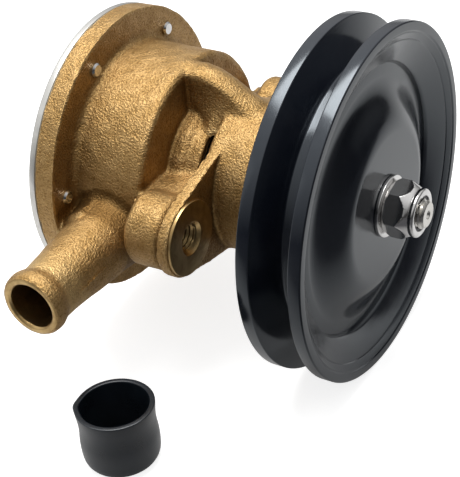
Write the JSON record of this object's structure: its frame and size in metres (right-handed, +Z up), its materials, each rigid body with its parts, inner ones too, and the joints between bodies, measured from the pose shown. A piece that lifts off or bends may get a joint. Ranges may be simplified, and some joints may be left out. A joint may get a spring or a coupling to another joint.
{
  "type": "flexible impeller pump",
  "caption": "belt-driven flexible impeller pump with a cast bronze body, two hose tails, a two-ear mounting plate, a black V pulley and one loose cap",
  "frame": {"origin": "on the shaft axis, at the middle plane of the pulley's belt groove", "axes": "+X along the shaft towards the pulley nut; +Z up; the visible hose tail points along -Y"},
  "size_m": [0.1244, 0.1746, 0.12],
  "materials": {
    "cast_bronze": "fine sand-cast skin, dull golden, machined where faces are turned",
    "steel_plate": "flat stainless sheet",
    "bright_screws": "bright turned stainless steel",
    "gasket_paper": "compressed fibre gasket",
    "ceramic": "lapped ceramic",
    "seal_rubber": "smooth black rubber",
    "impeller_rubber": "moulded black rubber",
    "bearing_steel": "ground bearing steel",
    "cage_steel": "pressed steel sheet",
    "shaft_steel": "turned stainless steel",
    "bush_brass": "turned brass",
    "carbon": "lapped carbon",
    "pulley_paint": "glossy blue-black paint",
    "nut_nylon": "nylon insert",
    "cap_vinyl": "soft black vinyl with a dull sheen"
  },
  "bodies": {
    "housing": {"pump_body": "cast_bronze", "wear_plate": "steel_plate", "cam": "cast_bronze", "cam_screw": "bright_screws", "cover_gasket": "gasket_paper", "end_cover": "steel_plate", "cover_screws": "bright_screws", "seal_seat": "ceramic", "grease_seal": "seal_rubber", "rear_bearing_outer": "bearing_steel", "front_bearing_outer": "bearing_steel", "housing_circlip": "bearing_steel"},
    "rotor": {"shaft": "shaft_steel", "impeller_bush": "bush_brass", "impeller": "impeller_rubber", "impeller_key": "shaft_steel", "seal_carbon": "carbon", "seal_bellows": "seal_rubber", "seal_spring": "bearing_steel", "spring_washer_ring": "steel_plate", "slinger": "seal_rubber", "slinger_washer": "steel_plate", "shaft_circlip": "bearing_steel", "rear_bearing_inner": "bearing_steel", "bearing_spacer": "bearing_steel", "front_bearing_inner": "bearing_steel", "pulley": "pulley_paint", "pulley_key": "shaft_steel", "flat_washer": "bright_screws", "lock_nut": "bright_screws", "nut_insert": "nut_nylon"},
    "rear_row": {"rear_bearing_balls": "bearing_steel", "rear_bearing_cage": "cage_steel"},
    "front_row": {"front_bearing_balls": "bearing_steel", "front_bearing_cage": "cage_steel"},
    "cap": {"hose_tail_cap": "cap_vinyl"}
  },
  "joints": [
    {"name": "shaft_spin", "type": "hinge", "parent": "housing", "child": "rotor", "pos_m": [0, 0, 0], "axis": [1, 0, 0], "continuous": true, "deforming": ["impeller"]},
    {"name": "rear_row_spin", "type": "hinge", "parent": "housing", "child": "rear_row", "pos_m": [-0.036, 0, 0], "axis": [1, 0, 0], "continuous": true},
    {"name": "front_row_spin", "type": "hinge", "parent": "housing", "child": "front_row", "pos_m": [-0.0202, 0, 0], "axis": [1, 0, 0], "continuous": true},
    {"name": "cap_lift", "type": "slide", "parent": "housing", "child": "cap", "axis": [0, 0, 1], "range_m": [0, 0.06]}
  ],
  "couplings": [
    {"joint": "rear_row_spin", "follows": "shaft_spin", "ratio": 0.4062},
    {"joint": "front_row_spin", "follows": "shaft_spin", "ratio": 0.4062}
  ]
}
